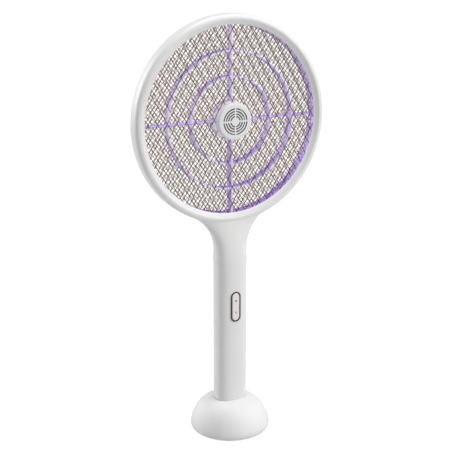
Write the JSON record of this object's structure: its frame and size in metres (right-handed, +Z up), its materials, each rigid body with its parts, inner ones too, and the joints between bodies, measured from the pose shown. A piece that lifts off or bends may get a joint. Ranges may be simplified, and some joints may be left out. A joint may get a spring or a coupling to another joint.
{
  "type": "electric fly swatter",
  "caption": "Round-headed electric fly swatter with stacked diamond nets, lit cross-and-ring ribs, rocker button and slim handle, standing in a domed charging dock.",
  "frame": {"origin": "centre of the dock's underside, on the surface it stands on", "axes": "+Z up, front of the swatter towards -Y, +X to the right seen from the front"},
  "size_m": [0.2204, 0.0886, 0.4612],
  "materials": {
    "white_shell": "satin gloss white plastic",
    "hub_white": "satin white plastic",
    "dock_white": "satin gloss white plastic",
    "net_steel": "plated steel, dull grey",
    "rib_white": "translucent white plastic lit violet",
    "lamp_lens": "violet lit lens",
    "led": "ultraviolet light-emitting diodes",
    "bezel": "dark rose-brown metal",
    "rocker": "fine matt white plastic",
    "steel": "zinc-plated steel",
    "brass": "polished brass",
    "copper_nickel": "nickel strip",
    "rubber": "matt black rubber",
    "board": "green solder mask",
    "component_black": "black moulded plastic",
    "transformer": "yellow tape over ferrite",
    "capacitor": "dipped film capacitor",
    "cell_sleeve": "blue heat-shrink sleeve",
    "lead": "red silicone insulation",
    "white_lead": "white silicone insulation",
    "ballast": "raw steel"
  },
  "bodies": {
    "dock": {"dock_shell": "dock_white", "dock_base_plate": "component_black", "dock_foot_ring": "rubber", "dock_ballast": "ballast", "dock_screws": "steel", "dock_pin_block": "component_black", "dock_contact_board": "board", "charging_inlet": "steel", "charge_pin_spring_left": "steel", "charge_pin_spring_right": "steel"},
    "charge_pin_left": {"charge_pin_left": "brass"},
    "charge_pin_right": {"charge_pin_right": "brass"},
    "swatter": {"front_shell": "white_shell", "rear_shell": "white_shell", "case_screws": "steel", "front_net": "net_steel", "middle_net": "net_steel", "rear_net": "net_steel", "front_rib_frame": "rib_white", "rear_rib_frame": "rib_white", "hub_front_cap": "hub_white", "hub_rear_cap": "hub_white", "hub_screw": "steel", "lamp_board": "board", "lamp_lens_ring": "lamp_lens", "lamp_leds": "led", "net_leads": "lead", "lamp_leads": "white_lead", "button_bezel": "bezel", "rocker_pin": "steel", "tact_switches": "component_black", "main_board": "board", "high_voltage_transformer": "transformer", "storage_capacitors": "capacitor", "rectifier_diodes": "component_black", "battery_cell": "cell_sleeve", "battery_cradle": "component_black", "battery_contact_strips": "copper_nickel", "battery_leads": "lead", "handle_end_cap": "rocker", "charge_contacts": "brass"},
    "rocker": {"rocker_button": "rocker"}
  },
  "joints": [
    {"name": "swatter_lift_out", "type": "slide", "parent": "dock", "child": "swatter", "axis": [0, 0, 1], "range_m": [0, 0.06]},
    {"name": "rocker_press", "type": "hinge", "parent": "swatter", "child": "rocker", "pos_m": [0, -0.0113, 0.1474], "axis": [1, 0, 0], "range_deg": [-2.5, 2.5], "stiffness_Nm_per_rad": 0.06},
    {"name": "charge_pin_press_left", "type": "slide", "parent": "dock", "child": "charge_pin_left", "axis": [0, 0, 1], "range_m": [-0.001, 0], "stiffness_N_per_m": 300, "springref_m": 0.0005, "deforming": ["charge_pin_spring_left"]},
    {"name": "charge_pin_press_right", "type": "slide", "parent": "dock", "child": "charge_pin_right", "axis": [0, 0, 1], "range_m": [-0.001, 0], "stiffness_N_per_m": 300, "springref_m": 0.0005, "deforming": ["charge_pin_spring_right"]}
  ]
}
